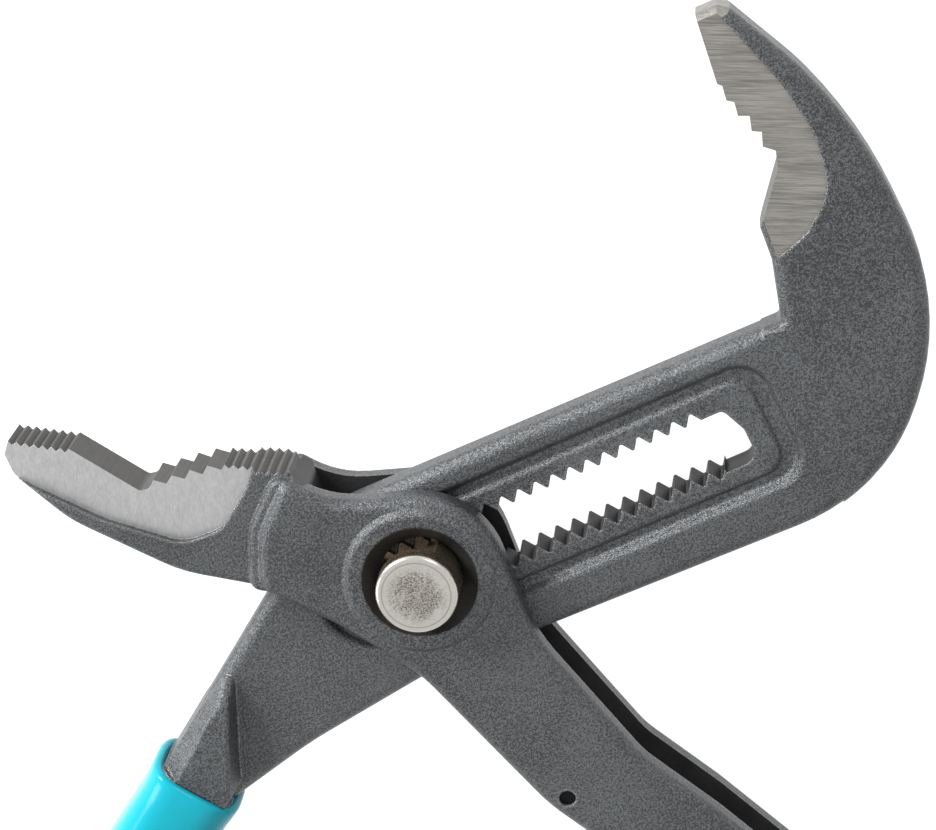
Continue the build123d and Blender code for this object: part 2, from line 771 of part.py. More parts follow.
def bolt_spring():
    """Compression spring between the seat and the roof of the bolt's bore."""
    seat_top = ring_depth + ring_thick + ring_clearance + seat_thick
    roof = boss_front_z + button_proud - spring_roof
    low = seat_top + spring_wire_radius
    pitch = (roof - seat_top - 2 * spring_wire_radius) / spring_turns
    arcs = []
    steps = 4 * spring_turns
    for index in range(steps):
        start, start_slope = helix_point(index / 4, low, pitch)
        end, end_slope = helix_point((index + 1) / 4, low, pitch)
        arcs += biarc(start, start_slope, end, end_slope)
    path = Wire(arcs)
    first, slope = helix_point(0, low, pitch)
    wire = Plane(origin=first, z_dir=slope) * Circle(spring_wire_radius)
    print("spring least gap to itself", round(pitch - 2 * spring_wire_radius, 2))
    return sweep(wire, path=path)


pieces = {
    "slotted_leg": slotted_leg,
    "box_leg": box_leg,
    "hinge_bolt": hinge_bolt,
    "bolt_spring": bolt_spring,
    "spring_seat": spring_seat,
    "retaining_ring": retaining_ring,
    "stop_pin": stop_pin,
    "left_grip": lambda: grip(left_axis, left_grip_start, left_tang_width),
    "right_grip": lambda: grip(right_axis, right_grip_start, right_tang_width),
}

for name, make in pieces.items():
    export_step(make(), f"parts/{name}.step")
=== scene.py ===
import math

import bpy
from mathutils import Matrix, Vector


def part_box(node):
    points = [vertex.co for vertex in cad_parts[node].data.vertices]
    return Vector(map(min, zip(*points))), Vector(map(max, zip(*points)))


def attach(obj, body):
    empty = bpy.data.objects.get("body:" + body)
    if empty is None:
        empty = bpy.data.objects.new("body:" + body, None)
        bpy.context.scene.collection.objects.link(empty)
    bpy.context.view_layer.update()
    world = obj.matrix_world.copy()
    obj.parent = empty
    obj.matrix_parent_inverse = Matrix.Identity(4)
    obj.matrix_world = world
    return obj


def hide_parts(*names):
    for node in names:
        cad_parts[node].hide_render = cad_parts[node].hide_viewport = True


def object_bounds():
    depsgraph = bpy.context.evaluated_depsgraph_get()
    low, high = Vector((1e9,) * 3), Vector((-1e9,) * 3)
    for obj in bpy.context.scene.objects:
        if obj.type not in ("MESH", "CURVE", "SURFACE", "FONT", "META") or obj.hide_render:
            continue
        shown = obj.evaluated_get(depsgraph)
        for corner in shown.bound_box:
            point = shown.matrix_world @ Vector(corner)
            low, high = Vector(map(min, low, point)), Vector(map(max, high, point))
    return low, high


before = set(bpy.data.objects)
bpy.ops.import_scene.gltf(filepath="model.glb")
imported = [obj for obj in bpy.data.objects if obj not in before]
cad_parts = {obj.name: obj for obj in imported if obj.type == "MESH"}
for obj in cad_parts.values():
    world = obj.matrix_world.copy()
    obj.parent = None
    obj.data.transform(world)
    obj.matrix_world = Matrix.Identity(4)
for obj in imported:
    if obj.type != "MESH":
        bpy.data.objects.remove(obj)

bl_info = {
    "name": "Adjustable pliers",
    "version": (1, 0, 0),
    "blender": (4, 5, 0),
    "location": "3D Viewport > Sidebar > Pliers",
    "description": "Dresses the packed pliers: blasted forgings, ground jaws, push button and dipped grips",
    "category": "Object",
}

CAD_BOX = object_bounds()
# One millimetre in metres
MM = 0.001

# Middle plane of the pliers, read from the frame in millimetres
LOWEST, HIGHEST = (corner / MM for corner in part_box("box_leg"))
MID_HEIGHT = (LOWEST.z + HIGHEST.z) / 2


def millimetre_size(name, description, default, low=0.0):
    """A length that a user can change, held in metres and given here in millimetres."""
    return bpy.props.FloatProperty(
        name=name, description=description, default=default * MM, min=low * MM,
        subtype="DISTANCE", unit="LENGTH", precision=5,
    )


def paint(name, description, default):
    """A colour that a user can change."""
    return bpy.props.FloatVectorProperty(
        name=name, description=description, default=default, subtype="COLOR", size=3, min=0.0, max=1.0,
    )


def share(name, description, default):
    """A number from 0 to 1 that a user can change."""
    return bpy.props.FloatProperty(
        name=name, description=description, default=default, min=0.0, max=1.0, subtype="FACTOR",
    )


class ForgingSettings(bpy.types.PropertyGroup):
    """Blasted steel of the two legs."""

    dark: paint("Dark steel", "Blasted surface in its hollows", (0.020, 0.022, 0.024))
    light: paint("Light steel", "Blasted surface on its grain", (0.122, 0.130, 0.137))
    # Lighter colour along convex and concave edges: partly polished wear, partly a painted highlight
    wear_and_highlight: paint("Worn edge", "Where handling has polished the edges", (0.40, 0.405, 0.40))
    # Near-black colour of the window's inner walls and the bores, a painted shade for these recesses
    scale: paint("Black scale", "Inner walls of the window and the bores", (0.014, 0.014, 0.014))
    roughness: share("Roughness", "Mean roughness of the blasted surface", 0.38)
    grain: millimetre_size("Grain", "Size of one blasted dimple", 0.32)
    dimple: millimetre_size("Dimple depth", "Depth of one blasted dimple", 0.16)
    edge: millimetre_size("Edge", "Softness of the forging's remaining edges", 0.35)
    crisp: millimetre_size("Crisp edge", "Softness of teeth and ground faces", 0.06)


class JawSettings(bpy.types.PropertyGroup):
    """Ground faces and milled teeth of the two jaws."""

    box_face: paint("Box jaw face", "Ground face of the box leg's jaw", (0.425, 0.425, 0.425))
    hook_face: paint("Hook face", "Ground face of the hooked jaw", (0.255, 0.245, 0.225))
    teeth: paint("Teeth", "Milled sides of the teeth", (0.085, 0.083, 0.080))
    # Near-black sides of the slot's teeth, a painted shade for the inside of the slot
    rack_shade: paint("Rack", "Sides of the slot's teeth", (0.014, 0.014, 0.014))
    face_thick: millimetre_size("Face thickness", "Thickness of the jaws between their ground faces", 6.3)


class BoltSettings(bpy.types.PropertyGroup):
    """Push button, seat, ring, spring and stop pin."""

    steel: paint("Button steel", "Bare nickelled steel", (0.55, 0.53, 0.495))
    speck: paint("Button specks", "Darker specks on the button's face", (0.15, 0.135, 0.115))
    # Brown of the bolt's neck, also laid on the button's sides as a painted dark reflection
    neck_and_reflection: paint("Bolt neck", "Oiled steel below the button", (0.36, 0.29, 0.215))
    neck_top: millimetre_size("Neck top", "Height at which the button's bright side begins", 15.6)
    spring: paint("Spring steel", "Spring and snap ring", (0.30, 0.30, 0.30))
    roughness: share("Roughness", "Mean roughness of the button", 0.24)


class GripSettings(bpy.types.PropertyGroup):
    """Dipped sleeves on the handles, with the handles' centre lines."""

    colour: paint("Grip", "Body colour of the dipped sleeves", (0.002, 0.42, 0.53))
    roughness: share("Roughness", "Mean roughness of the sleeves", 0.22)
    wall: millimetre_size("Wall", "Thickness of the sleeve at its rolled mouth", 1.3)
    bead: millimetre_size("Bead", "How far the rolled mouth swells outwards", 0.18)
    thick: millimetre_size("Thickness", "Thickness of the sleeve across the pliers", 13.6)
    handle_length: millimetre_size("Handle length", "From the bolt's axis to the handle's end", 192.0)
    straight: millimetre_size("Straight run", "Straight part of a handle's centre line", 66.0)
    turn: bpy.props.FloatProperty(
        name="Turn", description="Bend of a handle after its straight run",
        default=math.radians(11), subtype="ANGLE",
    )


class StageSettings(bpy.types.PropertyGroup):
    """Floor, lamps and camera."""

    floor_gap: millimetre_size("Floor gap", "Room between the lowest boss and the floor", 0.02)
    sky: share("Sky", "Strength of the even light from all round", 0.45)
    focal: bpy.props.FloatProperty(
        name="Focal length", description="Lens on a 36 mm sensor",
        default=105.77, min=1.0, subtype="DISTANCE_CAMERA",
    )


class Value:
    """A number that varies over a surface: sums on it become Math nodes."""

    def __init__(self, nodes, socket):
        self.nodes, self.socket = nodes, socket

    def do(self, operation, *others):
        inputs = dict(enumerate((self, *others)))
        return self.nodes.value("ShaderNodeMath", {"operation": operation}, inputs)

    def __add__(self, other):
        return self.do("ADD", other)

    def __mul__(self, other):
        return self.do("MULTIPLY", other)

    def __sub__(self, other):
        return self.do("SUBTRACT", other)

    def __rsub__(self, other):
        return self.nodes.value("ShaderNodeMath", {"operation": "SUBTRACT"}, {0: other, 1: self})

    def __pow__(self, other):
        return self.do("POWER", other)

    __radd__, __rmul__ = __add__, __mul__

    def between(self, low, high):
        """0 below low and 1 above high, smooth between."""
        inputs = {"Value": self, "From Min": low, "From Max": high}
        return self.nodes.value("ShaderNodeMapRange", {"interpolation_type": "SMOOTHSTEP"}, inputs)


class Nodes:
    """The node tree of a material or a world, emptied and ready for new nodes."""

    def __init__(self, owner):
        owner.use_nodes = True
        self.owner, self.tree = owner, owner.node_tree
        self.tree.nodes.clear()

    def node(self, kind, settings=None, inputs=None):
        """One node with its settings and its inputs, which are numbers, colours, values or sockets."""
        node = self.tree.nodes.new(kind)
        for name, value in (settings or {}).items():
            setattr(node, name, value)
        for name, value in (inputs or {}).items():
            if isinstance(value, Value):
                value = value.socket
            if isinstance(value, bpy.types.NodeSocket):
                self.tree.links.new(value, node.inputs[name])
            else:
                node.inputs[name].default_value = value
        return node

    def value(self, kind, settings=None, inputs=None):
        """One node's first output as a number that sums can go on from."""
        return Value(self, self.node(kind, settings, inputs).outputs[0])

    def seen(self):
        """1 where the camera or a mirror looks, 0 where light only bounces."""
        path = self.node("ShaderNodeLightPath").outputs
        return Value(self, path["Is Camera Ray"]).do("MAXIMUM", Value(self, path["Is Glossy Ray"]))


class Finish(Nodes):
    """A procedural material on the millimetres of its object."""

    def __init__(self, name):
        super().__init__(bpy.data.materials.new(name))
        place = self.node("ShaderNodeTexCoord").outputs["Object"]
        scaled = self.node("ShaderNodeVectorMath", {"operation": "SCALE"}, {0: place, "Scale": 1 / MM})
        self.place = scaled.outputs[0]

    def noise(self, size, detail=2.0, roughness=0.5, stretch=(1, 1, 1), turn=0.0):
        """Cloudy noise with features of a size in millimetres, stretched along a turned direction."""
        place = self.node(
            "ShaderNodeMapping", {"vector_type": "TEXTURE"},
            {"Vector": self.place, "Rotation": (0, 0, turn), "Scale": [size * by for by in stretch]},
        ).outputs[0]
        inputs = {"Vector": place, "Scale": 1.0, "Detail": detail, "Roughness": roughness}
        return self.value("ShaderNodeTexNoise", None, inputs)

    def mix(self, factor, low, high):
        """A colour between two others."""
        settings = {"data_type": "RGBA"}
        inputs = {0: factor, 6: self.colour(low), 7: self.colour(high)}
        return self.node("ShaderNodeMix", settings, inputs).outputs[2]

    @staticmethod
    def colour(given):
        return given if isinstance(given, bpy.types.NodeSocket) else (*given, 1)

    def rounded(self, radius):
        """The surface's normal with its edges softened by a radius in metres."""
        return self.node("ShaderNodeBevel", {"samples": 6}, {"Radius": radius}).outputs[0]

    def edges(self, radius):
        """1 along edges and 0 on flat ground, by how far the softened normal leans away."""
        plain = self.node("ShaderNodeNewGeometry").outputs["Normal"]
        inputs = {0: plain, 1: self.rounded(radius)}
        lean = self.node("ShaderNodeVectorMath", {"operation": "DOT_PRODUCT"}, inputs)
        return (1 - Value(self, lean.outputs["Value"])).between(0.0, 0.12)

    def bump(self, height, depth, normal=None):
        """A normal from heights between 0 and 1, with the depth in millimetres."""
        inputs = {"Height": height, "Distance": depth * MM, "Strength": 1.0}
        if normal:
            inputs["Normal"] = normal
        return self.node("ShaderNodeBump", None, inputs).outputs[0]

    def surface(self, **inputs):
        """The closing shader: spaces in its sockets' names are written as underscores."""
        named = {name.replace("_", " "): value for name, value in inputs.items()}
        shader = self.node("ShaderNodeBsdfPrincipled", None, named)
        self.node("ShaderNodeOutputMaterial", None, {"Surface": shader.outputs[0]})
        return self.owner


def shaded(colour, by):
    """A colour made darker or lighter by a factor."""
    return [min(1.0, part * by) for part in colour]


def blasted_steel(settings):
    """Dark forged steel, blasted to a fine even grain, and lighter along its edges: partly rubbed wear,
    partly a painted highlight.
    """
    finish = Finish("blasted_steel")
    size, cloud_size = settings.grain / MM, 14.0
    wear_and_highlight_share, wear_and_highlight_reach = 0.55, settings.edge * 2.4
    grain = finish.noise(size, roughness=0.6)
    fine = finish.noise(size / 2, roughness=0.6)
    cloud = finish.noise(cloud_size, detail=3.0, roughness=0.55)
    tone = (grain * 0.45 + fine * 0.40 + cloud * 0.15).between(0.42, 0.59)
    # Edge mask that lightens both convex and concave edges: partly wear, partly a painted highlight
    wear_and_highlight = finish.edges(wear_and_highlight_reach) * fine.between(0.40, 0.60) * wear_and_highlight_share
    colour = finish.mix(wear_and_highlight, finish.mix(tone, settings.dark, settings.light), settings.wear_and_highlight)
    roughness = settings.roughness + (cloud - 0.5) * 0.15 - wear_and_highlight * 0.08
    normal = finish.bump(grain * 0.6 + fine * 0.4, settings.dimple / MM, finish.rounded(settings.edge))
    return finish.surface(
        Base_Color=colour, Metallic=0.40 + wear_and_highlight * 0.35, Roughness=roughness, Normal=normal,
        Specular_IOR_Level=0.8,
    )


def black_scale(settings):
    """Near-black walls of the window and the bores: a painted shade for these recesses, with random grain."""
    finish = Finish("black_scale")
    grain = finish.noise(settings.grain / MM, detail=3.0, roughness=0.6)
    cloud = finish.noise(5.0)
    tone = (grain * 0.6 + cloud * 0.4).between(0.32, 0.68)
    return finish.surface(
        Base_Color=finish.mix(tone, shaded(settings.scale, 0.55), shaded(settings.scale, 1.5)),
        Roughness=0.5 + (cloud - 0.5) * 0.2,
        Normal=finish.bump(grain, 0.03, finish.rounded(settings.crisp)),
    )


def ground_steel(name, colour, edge, turn, contrast, size, stretch):
    """Bare steel with straight grinding lines across it, long on one jaw and short on the other."""
    finish = Finish(name)
    lines = finish.noise(size, detail=3.0, roughness=0.72, stretch=(stretch, 1, 1), turn=turn)
    broad = finish.noise(5 * size, stretch=(stretch / 2, 1, 1), turn=turn)
    cloud = finish.noise(7.0)
    tone = (lines * 0.62 + broad * 0.24 + cloud * 0.14).between(0.34, 0.66)
    return finish.surface(
        Base_Color=finish.mix(tone, shaded(colour, 1 - contrast), shaded(colour, 1 + contrast)),
        Metallic=0.6, Roughness=0.42 + (lines - 0.5) * 0.25,
        Normal=finish.bump(lines, 0.014, finish.rounded(edge)),
    )


def milled_steel(name, colour, edge):
    """Darker steel on the sides of the teeth, with cutter marks along them."""
    finish = Finish(name)
    marks = finish.noise(0.16, roughness=0.6, stretch=(1, 1, 40))
    cloud = finish.noise(3.0)
    tone = (marks * 0.5 + cloud * 0.5).between(0.3, 0.7)
    return finish.surface(
        Base_Color=finish.mix(tone, shaded(colour, 0.78), shaded(colour, 1.25)), Metallic=0.1,
        Roughness=0.5 + (cloud - 0.5) * 0.2, Normal=finish.bump(marks, 0.010, finish.rounded(edge)),
        Specular_IOR_Level=0.3,
    )


def button_steel(settings):
    """Nickelled button, speckled on its face, with a fine turned line and a brighter rim."""
    finish = Finish("button_steel")
    place = finish.node("ShaderNodeSeparateXYZ", None, {"Vector": finish.place}).outputs
    from_axis = (Value(finish, place[0]) ** 2 + Value(finish, place[1]) ** 2) ** 0.5
    line_radius, line_half = 4.40, 0.15
    centre = 1 - from_axis.between(line_radius / 2, line_radius)
    line_start, line_end = line_radius - line_half, line_radius + line_half
    line = from_axis.between(line_start, line_radius) - from_axis.between(line_radius, line_end)
    speck = finish.noise(0.22, detail=3.0, roughness=0.7)
    scuff = finish.noise(1.3, detail=3.0, roughness=0.6, stretch=(2, 1, 1), turn=math.radians(35))
    shade = finish.noise(5.0, detail=1.0, roughness=0.4, turn=math.radians(20)).between(0.38, 0.62)
    spots = speck.between(0.40, 0.60) * (0.15 + centre * 0.85) * scuff.between(0.25, 0.55)
    spots = (spots + centre * shade * 0.22 + line * 0.55).do("MINIMUM", 1.0)
    return finish.surface(
        Base_Color=finish.mix(spots, settings.steel, settings.speck), Metallic=1.0,
        Roughness=settings.roughness + spots * 0.28, Normal=finish.bump(speck * 0.4 + scuff * 0.6, 0.02),
    )


def plain_steel(name, colour, roughness):
    """Small turned steel parts, with faint drawn marks."""
    finish = Finish(name)
    marks = finish.noise(0.25, roughness=0.6)
    return finish.surface(
        Base_Color=finish.mix(marks.between(0.3, 0.7), shaded(colour, 0.72), colour), Metallic=0.9,
        Roughness=roughness + (marks - 0.5) * 0.3, Normal=finish.bump(marks, 0.005),
    )


def dipped_vinyl(settings):
    """Glossy dipped sleeve, faintly uneven as it set."""
    finish = Finish("dipped_vinyl")
    flow = finish.noise(9.0)
    dust = finish.noise(0.35, roughness=0.6)
    dark, light = shaded(settings.colour, 0.95), shaded(settings.colour, 1.04)
    return finish.surface(
        Base_Color=finish.mix(flow.between(0.3, 0.7), dark, light),
        Roughness=settings.roughness + (dust - 0.5) * 0.10,
        Normal=finish.bump(flow * 0.9 + dust * 0.1, 0.10), Coat_Weight=0.12, Coat_Roughness=0.10,
        Specular_IOR_Level=0.22,
    )


def dressed(node, *materials):
    """The CAD node's object with new materials in place of its plain one."""
    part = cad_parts[node]
    part.data.materials.clear()
    for material in materials:
        part.data.materials.append(material)
    return part


def placed(mesh, name, body, material, node):
    """A mesh as a finished piece: on its body, and shown in place of its CAD node, which is hidden."""
    mesh.materials.append(material)
    piece = bpy.data.objects.new(name, mesh)
    bpy.context.scene.collection.objects.link(piece)
    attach(piece, body)
    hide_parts(node)
    return piece


# Order of a leg's materials; the last is a painted shade for the rack's walls and for the window and bores
BLASTED, GROUND, TEETH, PAINTED_SHADE = range(4)

# The slotted leg, in millimetres: ends and half width of its rack, and where the hook's bite and tip lie
RACK_START, RACK_END, RACK_HALF = -8.0, 45.5, 5.0
HOOK_BITE_START, HOOK_BITE_END, HOOK_BITE_FOOT, HOOK_TIP = 51.0, 69.5, 17.5, 48.6

# The box leg, in millimetres: where its bite lies, and the reach of the window and of the bores
BOX_BITE_END, BOX_BITE_FOOT = -8.0, 14.0
WINDOW_START, WINDOW_NECK, WINDOW_COLLAR, WINDOW_TOP, WINDOW_HALF = -8.8, 5.0, -9.9, 19.3, 3.06
BORE_RADIUS, BORE_TOP = 7.45, 13.95

# The way in which each jaw's teeth look
HOOK_LOOK, BOX_LOOK = Vector((-1, 0.5, 0)), Vector((0.25, 1, 0))
# How closely a face agrees: with a height in millimetres, with level or upright, and with a direction
CLOSE, LEVEL, UPRIGHT, FACING, LEANING = 0.02, 0.99, 0.02, 0.05, 0.3


def on_hook_bite(place):
    """Whether a place lies on the hooked jaw's ground face, teeth or tip."""
    return place.y > HOOK_BITE_FOOT and HOOK_BITE_START < place.x < HOOK_BITE_END


def on_box_bite(place):
    """Whether a place lies on the box jaw's ground face or teeth."""
    return place.y > BOX_BITE_FOOT and place.x < BOX_BITE_END


def in_window(place):
    """Whether a place lies between the cheeks or inside the bores."""
    below_collar = place.x > WINDOW_COLLAR and place.y < WINDOW_TOP
    inside = place.x > WINDOW_START or place.y < WINDOW_NECK or below_collar
    between_cheeks = inside and abs(place.z - MID_HEIGHT) < WINDOW_HALF
    in_bore = math.hypot(place.x, place.y) < BORE_RADIUS and place.z < BORE_TOP
    return between_cheeks or in_bore


def upright(normal):
    """Whether a face stands straight through the pliers' thickness."""
    return abs(normal.z) < UPRIGHT


def on_ground_level(place, normal, face_half):
    """Whether a face lies flat at the height of the jaws' ground faces."""
    return abs(normal.z) > LEVEL and abs(abs(place.z - MID_HEIGHT) - face_half) < CLOSE


def on_tooth(place, normal, face_half, look):
    """Whether a face is a tooth's side between the ground faces, looking the way that the teeth do."""
    return upright(normal) and abs(place.z - MID_HEIGHT) < face_half and normal.dot(look) > FACING


def slotted_leg_material(place, normal, face_half):
    """The material of a face of the slotted leg."""
    on_tip = place.y > HOOK_TIP and normal.y > LEANING
    if on_tip or (on_ground_level(place, normal, face_half) and on_hook_bite(place)):
        return GROUND
    # The upright walls of the rack inside the slot get the painted shade
    if upright(normal) and abs(place.y) < RACK_HALF and RACK_START < place.x < RACK_END:
        return PAINTED_SHADE
    if on_hook_bite(place) and on_tooth(place, normal, face_half, HOOK_LOOK):
        return TEETH
    return BLASTED


def box_leg_material(place, normal, face_half):
    """The material of a face of the box leg."""
    if on_ground_level(place, normal, face_half) and on_box_bite(place):
        return GROUND
    # The window between the cheeks and the bores get the painted shade
    if in_window(place):
        return PAINTED_SHADE
    if on_box_bite(place) and on_tooth(place, normal, face_half, BOX_LOOK):
        return TEETH
    return BLASTED


class PLIERS_OT_forgings(bpy.types.Operator):
    """Gives the two legs their blasted, ground and milled steel"""

    bl_idname = "pliers.forgings"
    bl_label = "Forged legs"

    # Grinding lines: their direction, contrast, width in millimetres, and length over width
    hook_lines = {"turn": math.radians(-26.6), "contrast": 0.42, "size": 0.09, "stretch": 46}
    box_lines = {"turn": math.radians(65), "contrast": 0.13, "size": 0.17, "stretch": 4}

    def execute(self, context):
        forging, jaw = context.scene.pliers_forging, context.scene.pliers_jaw
        blasted, scale = blasted_steel(forging), black_scale(forging)
        teeth = milled_steel("milled_steel", jaw.teeth, forging.crisp)
        # Milled steel in a near-black colour: a painted shade for the slot's rack
        rack_shade = milled_steel("rack_steel", jaw.rack_shade, forging.crisp)
        hook_face = ground_steel("slotted_leg_ground", jaw.hook_face, forging.crisp, **self.hook_lines)
        box_face = ground_steel("box_leg_ground", jaw.box_face, forging.crisp, **self.box_lines)
        legs = (
            (dressed("slotted_leg", blasted, hook_face, teeth, rack_shade), slotted_leg_material),
            (dressed("box_leg", blasted, box_face, teeth, scale), box_leg_material),
        )
        for leg, material_of in legs:
            for face in leg.data.polygons:
                face.material_index = material_of(face.center / MM, face.normal, jaw.face_thick / MM / 2)
        return {"FINISHED"}


class PLIERS_OT_bolt(bpy.types.Operator):
    """Gives the push button, seat, ring, spring and stop pin their steel"""

    bl_idname = "pliers.bolt"
    bl_label = "Bolt and small parts"

    # Each small part's finish, its shade against the spring steel, and its roughness
    small_parts = {
        "spring_seat": ("turned_steel", 1.0, 0.35),
        "stop_pin": ("blackened_pin", 0.05, 0.60),
        "retaining_ring": ("ring_steel", 1.0, 0.30),
        "bolt_spring": ("spring_wire", 1.0, 0.25),
    }

    def execute(self, context):
        bolt = context.scene.pliers_bolt
        for node, (finish, shade, roughness) in self.small_parts.items():
            dressed(node, plain_steel(finish, shaded(bolt.spring, shade), roughness))
        button = dressed("hinge_bolt", button_steel(bolt), plain_steel("bolt_neck", bolt.neck_and_reflection, 0.30))
        # Faces that don't look up, the button's sides among them, get the brown: partly the neck's own
        # colour, partly a painted dark reflection
        for face in button.data.polygons:
            looks_up = face.normal.z > LEANING
            face.material_index = 0 if looks_up and face.center.z > bolt.neck_top else 1
        return {"FINISHED"}


class Handle:
    """A handle's centre line: straight from the bolt at first, then a long arc towards the other handle."""

    def __init__(self, settings, angle, offset, side):
        self.straight = settings.straight / MM
        self.radius = (settings.handle_length / MM - self.straight) / settings.turn
        self.along = Vector((math.cos(math.radians(angle)), math.sin(math.radians(angle)), 0))
        self.inward = side * Vector((self.along.y, -self.along.x, 0))
        self.start = self.inward * offset + Vector((0, 0, MID_HEIGHT))

    def station(self, distance):
        """A point on the line and the direction across it there."""
        bend = max(0.0, distance - self.straight) / self.radius
        run = min(distance, self.straight) + self.radius * math.sin(bend)
        place = self.start + self.along * run + self.inward * self.radius * (1 - math.cos(bend))
        along = (self.along * math.cos(bend) + self.inward * math.sin(bend)).normalized()
        return place, Vector((-along.y, along.x, 0))


def eased(shares, at):
    """The values of a table at a place, eased from one entry to the next."""
    for before, after in zip(shares, shares[1:]):
        if at <= after[0] or after is shares[-1]:
            part = max(0.0, min(1.0, (at - before[0]) / (after[0] - before[0])))
            part = part * part * (3 - 2 * part)
            return [low + (high - low) * part for low, high in zip(before[1:], after[1:])]


# Along a sleeve from its mouth to its end: the share of its length, and there of its width and thickness
HAND_SWELL = (
    (0.0, 0.965, 0.985), (0.03, 0.955, 0.985), (0.12, 1.0, 1.0), (0.30, 0.96, 0.97),
    (0.54, 1.04, 1.02), (0.76, 0.98, 0.97), (0.91, 1.07, 1.02), (1.0, 1.03, 1.0),
)
# Points round a sleeve, steps of its rolled mouth, rings along its body, and steps of its end in degrees
RING_COUNT, ROLL_STEPS, BODY_RINGS, END_STEP = 44, 8, 46, 10
# Depths of a sleeve's inner rings, and how far outside its roll the bead fades out, in millimetres
INNER_DEPTHS, BEAD_FADE, MOUTH_RUN = (7.0, 3.5, 1.4), ((0.6, 1.0), (1.5, 0.8), (2.8, 0.2)), 5.0
# A section's power, from 1 for an ellipse towards 0 for a rectangle, and the round end's run to its thickness
SQUARENESS, END_SHARE = 0.62, 0.62


def mouth_rings(wall, bead):
    """The rolled mouth from inside to outside, as distances along the sleeve and insets in millimetres."""
    roll = wall / 2
    rings = [(depth, wall) for depth in INNER_DEPTHS]
    for step in range(ROLL_STEPS + 1):
        lean = math.pi * step / ROLL_STEPS
        rings.append((roll - roll * math.sin(lean), roll * (1 + math.cos(lean)) - bead * step / ROLL_STEPS))
    return rings + [(roll + run, -bead * part) for run, part in BEAD_FADE] + [(MOUTH_RUN, 0.0)]


def sleeve_rings(length, settings):
    """All rings of a sleeve: distance along it, inset, and the share of its full section."""
    end_run = settings.thick / MM * END_SHARE
    body_end = length - end_run
    rings = mouth_rings(settings.wall / MM, settings.bead / MM)
    for step in range(1, BODY_RINGS + 1):
        rings.append((MOUTH_RUN + (body_end - MOUTH_RUN) * step / BODY_RINGS, 0.0))
    leans = [math.radians(angle) for angle in range(END_STEP, 90, END_STEP)]
    return [(*ring, 1.0) for ring in rings] + [
        (body_end + end_run * math.sin(lean), 0.0, math.cos(lean)) for lean in leans
    ]


def ring_points(place, across, half_wide, half_deep, squareness):
    """One ring of points round a place, between an ellipse and a rounded rectangle."""
    for corner in range(RING_COUNT):
        angle = math.tau * corner / RING_COUNT
        side = math.copysign(abs(math.cos(angle)) ** squareness, math.cos(angle)) * half_wide
        rise = math.copysign(abs(math.sin(angle)) ** squareness, math.sin(angle)) * half_deep
        yield (place + across * side + Vector((0, 0, rise))) * MM


def ring_faces(rings):
    """Faces between rings of points that follow each other, and from the last ring to one closing point."""
    faces = []
    for low in range(0, (rings - 1) * RING_COUNT, RING_COUNT):
        high = low + RING_COUNT
        for corner in range(RING_COUNT):
            following = (corner + 1) % RING_COUNT
            faces.append((low + corner, low + following, high + following, high + corner))
    last, tip = (rings - 1) * RING_COUNT, rings * RING_COUNT
    return faces + [(last + corner, last + (corner + 1) % RING_COUNT, tip) for corner in range(RING_COUNT)]


def sleeve_mesh(name, handle, mouth, tang_width, settings):
    """A dipped sleeve: rolled mouth, hand swell and closed round end, as rings round the handle's line."""
    length = settings.handle_length / MM - mouth
    thick, full_width = settings.thick / MM, tang_width + 2 * settings.wall / MM
    rings = sleeve_rings(length, settings)
    points = []
    for distance, inset, section in rings:
        place, across = handle.station(mouth + distance)
        wide, deep = eased(HAND_SWELL, distance / length)
        half_wide = (full_width * wide / 2 - inset) * section
        half_deep = (thick * deep / 2 - inset) * section
        squareness = SQUARENESS + (1 - SQUARENESS) * (1 - section)
        points += ring_points(place, across, half_wide, half_deep, squareness)
    points.append(handle.station(mouth + length)[0] * MM)
    mesh = bpy.data.meshes.new(name)
    mesh.from_pydata(points, [], ring_faces(len(rings)))
    mesh.shade_smooth()
    return mesh


class PLIERS_OT_grips(bpy.types.Operator):
    """Builds the dipped sleeves round the handles"""

    bl_idname = "pliers.grips"
    bl_label = "Dipped grips"

    # Each grip's body, and its handle's angle, offset from the bolt and side
    handles = {"left_grip": ("slotted_side", 213.5, -10.3, -1), "right_grip": ("box_side", -63.0, 8.7, 1)}
    # Where each sleeve's mouth lies along its handle, and the tang's width there
    mouths = {"left_grip": (42.8, 10.6), "right_grip": (70.0, 12.0)}

    def execute(self, context):
        settings = context.scene.pliers_grip
        vinyl = dipped_vinyl(settings)
        for node, (body, angle, offset, side) in self.handles.items():
            handle = Handle(settings, angle, offset, side)
            mesh = sleeve_mesh(node + "_sleeve", handle, *self.mouths[node], settings)
            placed(mesh, node + "_sleeve", body, vinyl, node)
        return {"FINISHED"}


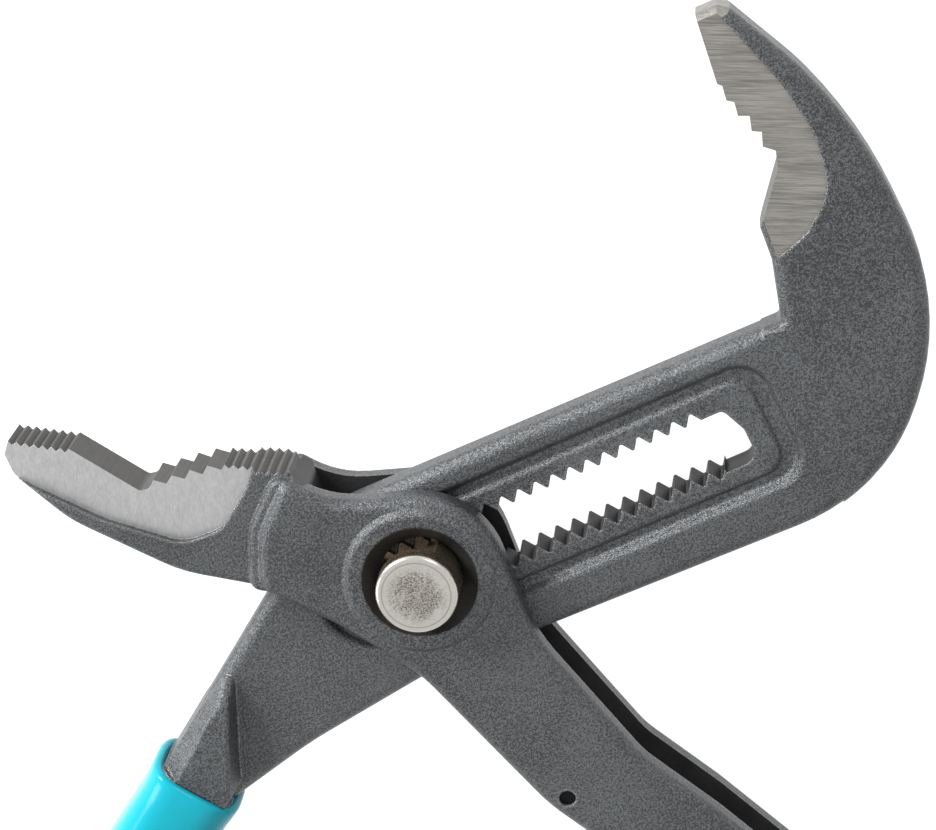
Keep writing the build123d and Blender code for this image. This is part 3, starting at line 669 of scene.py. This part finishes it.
class PLIERS_OT_stage(bpy.types.Operator):
    """Sets the floor, the lamps and the camera"""

    bl_idname = "pliers.stage"
    bl_label = "Stage"

    # The camera's place in millimetres, and its right and down directions
    eye = (93.29, 109.60, 332.66)
    right = (0.89044, -0.44655, -0.08778)
    down = (-0.39411, -0.85309, 0.34193)
    # Each lamp's place, width and height in millimetres, and its power in watts
    lamps = {
        "upper_left_box": ((-260, 520, 215), (240, 130), 5.5),
        "upper_right_box": ((420, 320, 330), (160, 260), 0.6),
        "left_box": ((-505, 60, 190), (220, 180), 0.85),
    }
    # Where the lamps point, in millimetres
    lit = (10, -10, 7)
    # The floor's side in metres, the grey that it is lit as, and the white that it adds where it is seen
    floor_side, floor_grey, floor_white = 3.0, 0.42, 0.975

    def floor_material(self):
        """Pale matt floor that looks white to the camera and keeps the shadow."""
        finish = Finish("pale_floor")
        matt = finish.node("ShaderNodeBsdfDiffuse", None, {"Color": (*[self.floor_grey] * 3, 1)})
        glow = finish.node("ShaderNodeEmission", None, {"Color": (1, 1, 1, 1), "Strength": self.floor_white})
        both = finish.node("ShaderNodeAddShader", None, {0: matt.outputs[0], 1: glow.outputs[0]})
        inputs = {0: finish.seen(), 1: matt.outputs[0], 2: both.outputs[0]}
        mixed = finish.node("ShaderNodeMixShader", None, inputs)
        finish.node("ShaderNodeOutputMaterial", None, {"Surface": mixed.outputs[0]})
        return finish.owner

    def floor(self, gap):
        """A plane below the pliers, marked as stage."""
        bpy.ops.mesh.primitive_plane_add(size=self.floor_side, location=(0, 0, CAD_BOX[0].z - gap))
        floor = bpy.context.object
        floor.name = "floor"
        floor.data.materials.append(self.floor_material())

    def sky(self, strength):
        """Even light from all round, white where it is seen."""
        sky = Nodes(bpy.data.worlds.new("studio"))
        plain = sky.node("ShaderNodeBackground", None, {"Color": (1, 1, 1, 1), "Strength": strength})
        white = sky.node("ShaderNodeBackground", None, {"Color": (1, 1, 1, 1), "Strength": 1.0})
        inputs = {0: sky.seen(), 1: plain.outputs[0], 2: white.outputs[0]}
        mixed = sky.node("ShaderNodeMixShader", None, inputs)
        sky.node("ShaderNodeOutputWorld", None, {"Surface": mixed.outputs[0]})
        bpy.context.scene.world = sky.owner

    def lamp(self, name, place, size, power):
        """A soft rectangular lamp that points at the pliers."""
        light = bpy.data.lights.new(name, "AREA")
        light.shape = "RECTANGLE"
        light.size, light.size_y = (side * MM for side in size)
        light.energy = power
        obj = bpy.data.objects.new(name, light)
        bpy.context.scene.collection.objects.link(obj)
        obj.location = Vector(place) * MM
        obj.rotation_euler = (Vector(self.lit) - Vector(place)).to_track_quat("-Z", "Y").to_euler()

    def camera(self, focal):
        """The camera at the photograph's viewing angle."""
        data = bpy.data.cameras.new("camera")
        data.sensor_width, data.lens = 36.0, focal
        data.clip_start, data.clip_end = 0.01, 10
        camera = bpy.data.objects.new("camera", data)
        bpy.context.scene.collection.objects.link(camera)
        right, up = Vector(self.right).normalized(), -Vector(self.down)
        back = right.cross(up).normalized()
        turned = Matrix((right, back.cross(right), back)).transposed().to_4x4()
        camera.matrix_world = Matrix.Translation(Vector(self.eye) * MM) @ turned
        bpy.context.scene.camera = camera

    def execute(self, context):
        settings = context.scene.pliers_stage
        self.floor(settings.floor_gap)
        self.sky(settings.sky)
        for name, (place, size, power) in self.lamps.items():
            self.lamp(name, place, size, power)
        self.camera(settings.focal)
        context.scene.view_settings.view_transform = "Standard"
        return {"FINISHED"}


class PLIERS_PT_panel(bpy.types.Panel):
    """Lists the operators that dress the pliers"""

    bl_label = "Pliers"
    bl_idname = "PLIERS_PT_panel"
    bl_space_type = "VIEW_3D"
    bl_region_type = "UI"
    bl_category = "Pliers"

    def draw(self, context):
        for operator in OPERATORS:
            self.layout.operator(operator.bl_idname)


OPERATORS = (PLIERS_OT_forgings, PLIERS_OT_bolt, PLIERS_OT_grips, PLIERS_OT_stage)
SETTINGS = {
    "pliers_forging": ForgingSettings,
    "pliers_jaw": JawSettings,
    "pliers_bolt": BoltSettings,
    "pliers_grip": GripSettings,
    "pliers_stage": StageSettings,
}


def register():
    for group in (*SETTINGS.values(), *OPERATORS, PLIERS_PT_panel):
        bpy.utils.register_class(group)
    for name, group in SETTINGS.items():
        setattr(bpy.types.Scene, name, bpy.props.PointerProperty(type=group))


def unregister():
    for name in SETTINGS:
        delattr(bpy.types.Scene, name)
    for group in (PLIERS_PT_panel, *OPERATORS, *SETTINGS.values()):
        bpy.utils.unregister_class(group)


def main():
    """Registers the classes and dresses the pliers."""
    register()
    bpy.ops.pliers.forgings()
    bpy.ops.pliers.bolt()
    bpy.ops.pliers.grips()
    bpy.ops.pliers.stage()


if __name__ == "__main__":
    main()
